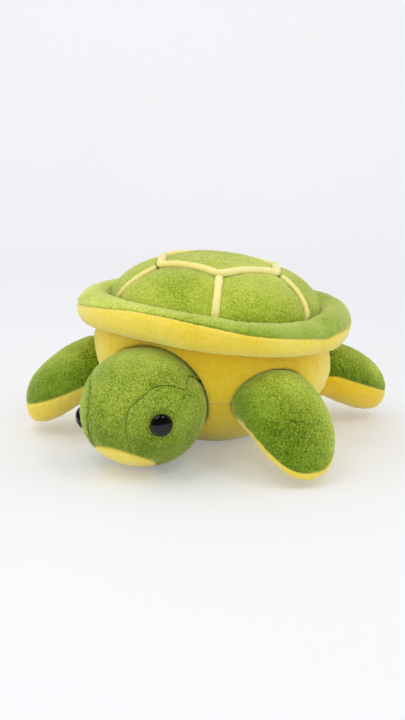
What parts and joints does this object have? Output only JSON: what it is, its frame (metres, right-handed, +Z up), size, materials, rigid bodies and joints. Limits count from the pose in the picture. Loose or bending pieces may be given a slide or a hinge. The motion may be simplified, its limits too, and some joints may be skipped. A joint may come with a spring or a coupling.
{
  "type": "plush turtle",
  "caption": "Plush turtle with a piped, panelled shell, a soft rim, a stuffed head that nods and turns, and flippers that flap.",
  "frame": {"origin": "on the floor, under the middle of the toy's box", "axes": "+Z up, the turtle faces -Y, and its left side is +X"},
  "size_m": [0.203, 0.21, 0.1131],
  "materials": {
    "green_plush": "short-pile plush, lime green, matt with a soft sheen",
    "yellow_plush": "short-pile plush, warm yellow, matt with a soft sheen",
    "pale_piping": "folded plush strip, pale yellow",
    "white_stuffing": "loose white fibre",
    "black_plastic": "polished black",
    "white_plastic": "moulded, plain",
    "green_thread": "waxed sewing thread"
  },
  "bodies": {
    "root": {"shell_top_panel": "green_plush", "shell_front_panel": "green_plush", "shell_front_left_panel": "green_plush", "shell_rear_left_panel": "green_plush", "shell_rear_panel": "green_plush", "shell_rear_right_panel": "green_plush", "shell_front_right_panel": "green_plush", "shell_piping_ring": "pale_piping", "shell_piping_front_left": "pale_piping", "shell_piping_side_left": "pale_piping", "shell_piping_rear_left": "pale_piping", "shell_piping_rear_right": "pale_piping", "shell_piping_side_right": "pale_piping", "shell_piping_front_right": "pale_piping", "shell_stuffing": "white_stuffing", "rim_top": "green_plush", "rim_underside": "yellow_plush", "rim_stuffing": "white_stuffing", "body_side_band": "yellow_plush", "belly_panel": "yellow_plush", "body_stuffing": "white_stuffing"},
    "neck": {"neck_seam_thread": "green_thread"},
    "head": {"head_centre_panel": "green_plush", "head_side_panel_left": "green_plush", "head_side_panel_right": "green_plush", "chin_panel": "yellow_plush", "head_stuffing": "white_stuffing", "eye_left": "black_plastic", "eye_right": "black_plastic", "eye_washer_left": "white_plastic", "eye_washer_right": "white_plastic"},
    "front_left_flipper": {"front_left_flipper_top": "green_plush", "front_left_flipper_bottom": "yellow_plush", "front_left_flipper_stuffing": "white_stuffing"},
    "front_right_flipper": {"front_right_flipper_top": "green_plush", "front_right_flipper_bottom": "yellow_plush", "front_right_flipper_stuffing": "white_stuffing"},
    "rear_left_flipper": {"rear_left_flipper_top": "green_plush", "rear_left_flipper_bottom": "yellow_plush", "rear_left_flipper_stuffing": "white_stuffing"},
    "rear_right_flipper": {"rear_right_flipper_top": "green_plush", "rear_right_flipper_bottom": "yellow_plush", "rear_right_flipper_stuffing": "white_stuffing"}
  },
  "joints": [
    {"name": "head_turn", "type": "hinge", "parent": "root", "child": "neck", "pos_m": [0, -0.06676, 0.0338], "axis": [0, 0, 1], "range_deg": [-18, 18], "stiffness_Nm_per_rad": 0.1},
    {"name": "head_nod", "type": "hinge", "parent": "neck", "child": "head", "pos_m": [0, -0.06676, 0.0338], "axis": [1, 0, 0], "range_deg": [-8, 15], "stiffness_Nm_per_rad": 0.1},
    {"name": "front_left_flap", "type": "hinge", "parent": "root", "child": "front_left_flipper", "pos_m": [0.06374, -0.03016, 0.03627], "axis": [-0.5446, -0.8387, 0], "range_deg": [-10, 30], "stiffness_Nm_per_rad": 0.05},
    {"name": "front_right_flap", "type": "hinge", "parent": "root", "child": "front_right_flipper", "pos_m": [-0.06374, -0.03016, 0.04073], "axis": [-0.5446, 0.8387, 0], "range_deg": [-10, 30], "stiffness_Nm_per_rad": 0.05},
    {"name": "rear_left_flap", "type": "hinge", "parent": "root", "child": "rear_left_flipper", "pos_m": [0.05349, 0.06663, 0.03563], "axis": [0.7193, -0.6947, 0], "range_deg": [-10, 30], "stiffness_Nm_per_rad": 0.05},
    {"name": "rear_right_flap", "type": "hinge", "parent": "root", "child": "rear_right_flipper", "pos_m": [-0.05349, 0.06663, 0.03937], "axis": [0.7193, 0.6947, 0], "range_deg": [-10, 30], "stiffness_Nm_per_rad": 0.05}
  ]
}
